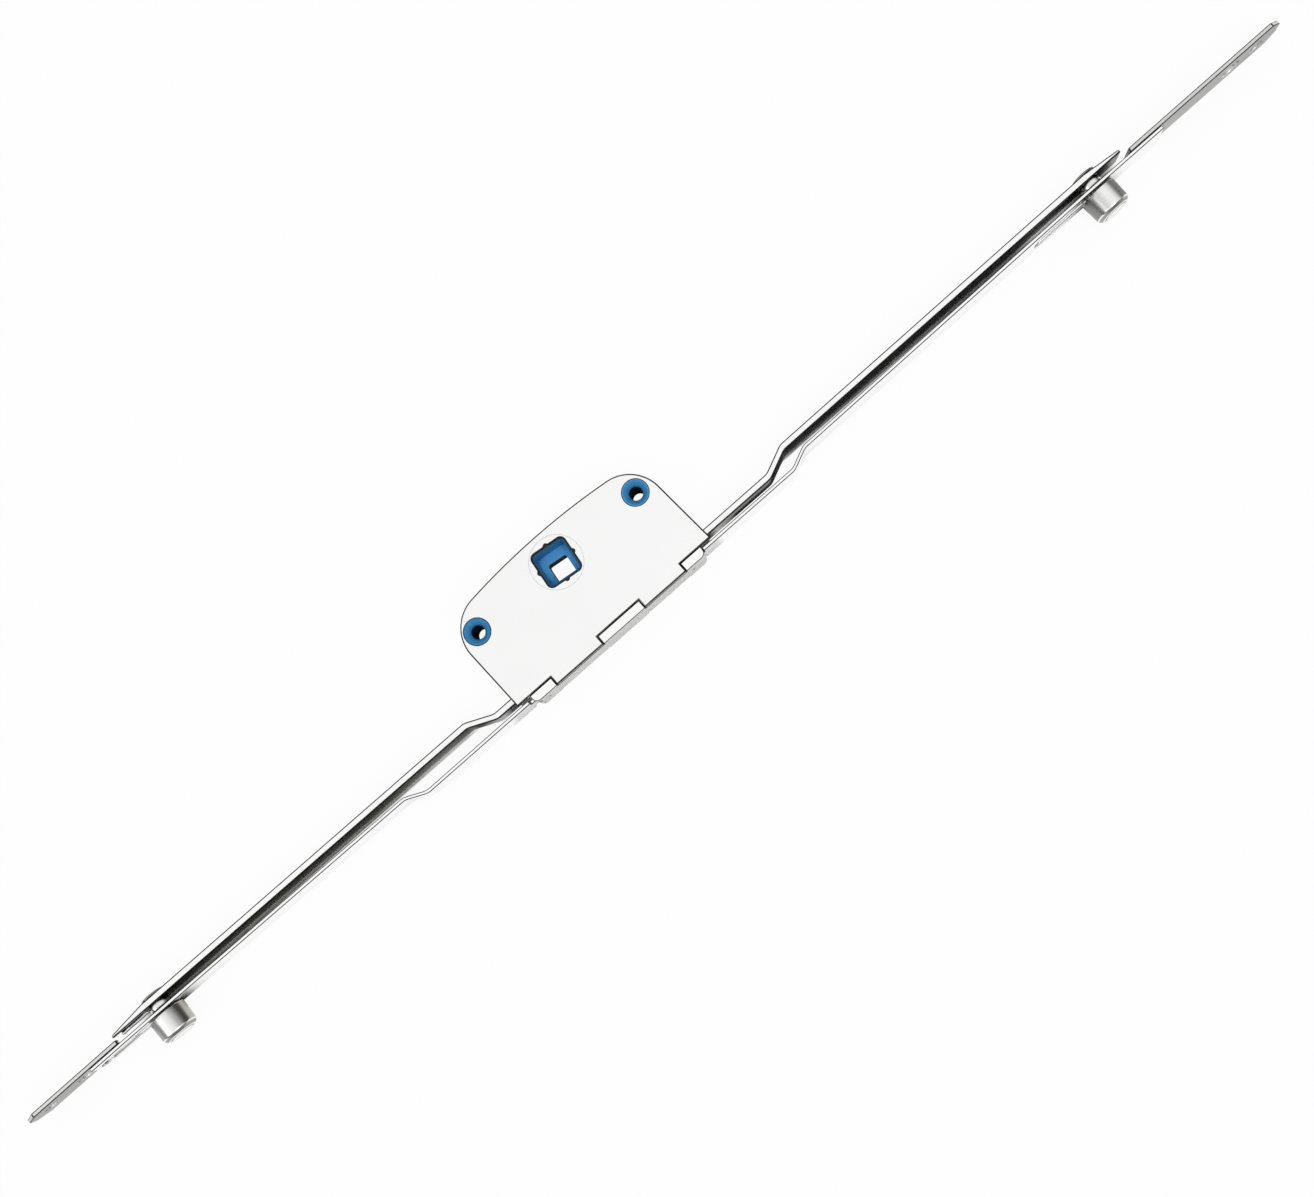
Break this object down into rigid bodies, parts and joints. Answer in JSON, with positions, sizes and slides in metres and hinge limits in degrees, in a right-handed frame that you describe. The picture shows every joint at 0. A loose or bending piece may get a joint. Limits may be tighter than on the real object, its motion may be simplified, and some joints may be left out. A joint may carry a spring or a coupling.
{
  "type": "espagnolette lock",
  "caption": "Window espagnolette lock: a flat gear case with a square spindle socket drives a cranked sliding rod with rollers, carried on slotted rails with drilled end plates.",
  "frame": {"origin": "on the spindle axis, which is also the middle of the two handle screws, at the back face of the gear case", "axes": "+X along the lock towards its longer end, -Y out of the sash edge, the way the rollers point, +Z along the spindle axis out of the front of the gear case"},
  "size_m": [0.3407, 0.0283, 0.0095],
  "materials": {
    "case_steel": "polished, bright plated steel",
    "strip_steel": "bright plated steel strip",
    "plate_steel": "brushed lengthwise",
    "gear_steel": "satin, oiled",
    "pin_steel": "satin",
    "roller_steel": "satin, turned",
    "blue_plastic": "satin moulded plastic"
  },
  "bodies": {
    "case": {"case_tray": "case_steel", "case_cover": "case_steel", "faceplate_bracket": "case_steel", "rail_left": "strip_steel", "rail_right": "strip_steel", "end_plate_left": "plate_steel", "end_plate_right": "plate_steel", "rail_rivets": "strip_steel", "screw_bush_left": "blue_plastic", "screw_bush_right": "blue_plastic", "rod_glide_left": "blue_plastic", "rod_glide_right": "blue_plastic"},
    "hub": {"toothed_sector": "gear_steel", "spindle_socket": "blue_plastic"},
    "rod": {"drive_rod": "strip_steel", "rack": "gear_steel", "rack_rivets": "gear_steel", "roller_pin_left": "pin_steel", "roller_pin_right": "pin_steel"},
    "left_roller": {"roller_left": "roller_steel"},
    "right_roller": {"roller_right": "roller_steel"}
  },
  "joints": [
    {"name": "rod_slide", "type": "slide", "parent": "case", "child": "rod", "axis": [1, 0, 0], "range_m": [-0.01448, 0.00122]},
    {"name": "hub_turn", "type": "hinge", "parent": "case", "child": "hub", "pos_m": [0, 0, 0.00475], "axis": [0, 0, 1], "range_deg": [-83, 7]},
    {"name": "left_roller_spin", "type": "hinge", "parent": "rod", "child": "left_roller", "pos_m": [-0.12117, -0.018, 0.00475], "axis": [0, 1, 0], "continuous": true},
    {"name": "right_roller_spin", "type": "hinge", "parent": "rod", "child": "right_roller", "pos_m": [0.13353, -0.018, 0.00475], "axis": [0, 1, 0], "continuous": true}
  ],
  "couplings": [
    {"joint": "hub_turn", "follows": "rod_slide", "rad_per_m": 100}
  ]
}
